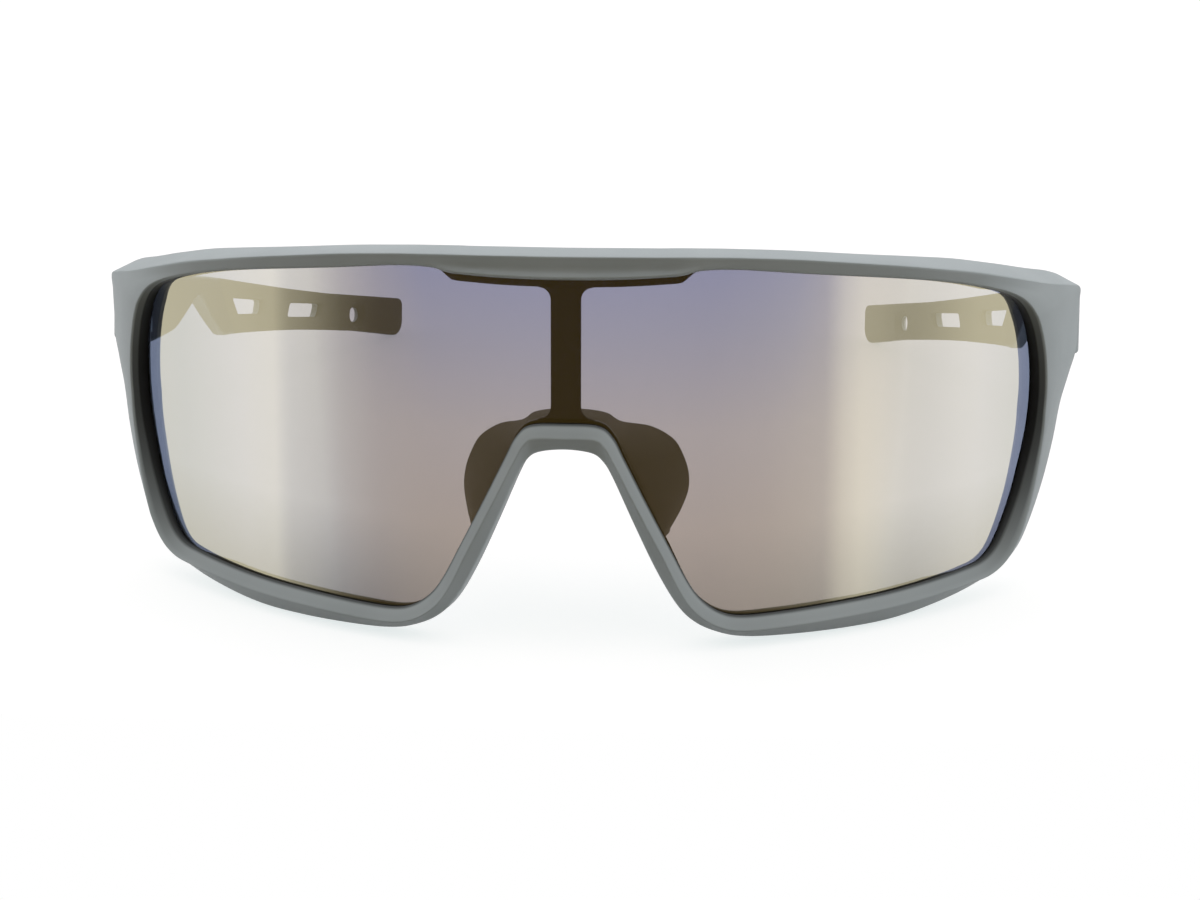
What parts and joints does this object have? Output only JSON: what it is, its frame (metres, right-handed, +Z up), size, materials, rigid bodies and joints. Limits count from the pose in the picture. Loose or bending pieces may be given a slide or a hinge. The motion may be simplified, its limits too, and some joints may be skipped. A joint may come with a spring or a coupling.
{
  "type": "wraparound sunglasses",
  "caption": "Wraparound shield sunglasses with a mirrored one-piece lens, a full grey rim, a soft nose pad and folding temples.",
  "frame": {"origin": "on the table under the middle of the whole object's outer box, as it stands open on its rims and temple tips", "axes": "+Z up, -Y towards the front of the lens, +X towards the wearer's left; X = 0 is the middle plane"},
  "size_m": [0.1484, 0.1508, 0.0549],
  "materials": {
    "frame": "fine matt grey",
    "lens": "pale mirror coating",
    "pad": "soft matt",
    "grip": "soft matt",
    "steel": "plain",
    "brass": "plain",
    "washer": "natural nylon"
  },
  "bodies": {
    "front": {"front_frame": "frame", "shield_lens": "lens", "nose_pad": "pad", "hinge_screw_left": "steel", "hinge_screw_right": "steel", "hinge_nut_left": "brass", "hinge_nut_right": "brass", "hinge_washers_left": "washer", "hinge_washers_right": "washer"},
    "left_temple": {"temple_left": "frame", "temple_grip_left": "grip"},
    "right_temple": {"temple_right": "frame", "temple_grip_right": "grip"}
  },
  "joints": [
    {"name": "temple_left_fold", "type": "hinge", "parent": "front", "child": "left_temple", "pos_m": [0.0707, -0.02494, 0.03439], "axis": [0, 0.2752, 0.9614], "range_deg": [0, 90]},
    {"name": "temple_right_fold", "type": "hinge", "parent": "front", "child": "right_temple", "pos_m": [-0.0707, -0.02494, 0.03439], "axis": [0, -0.2752, -0.9614], "range_deg": [0, 74]}
  ]
}
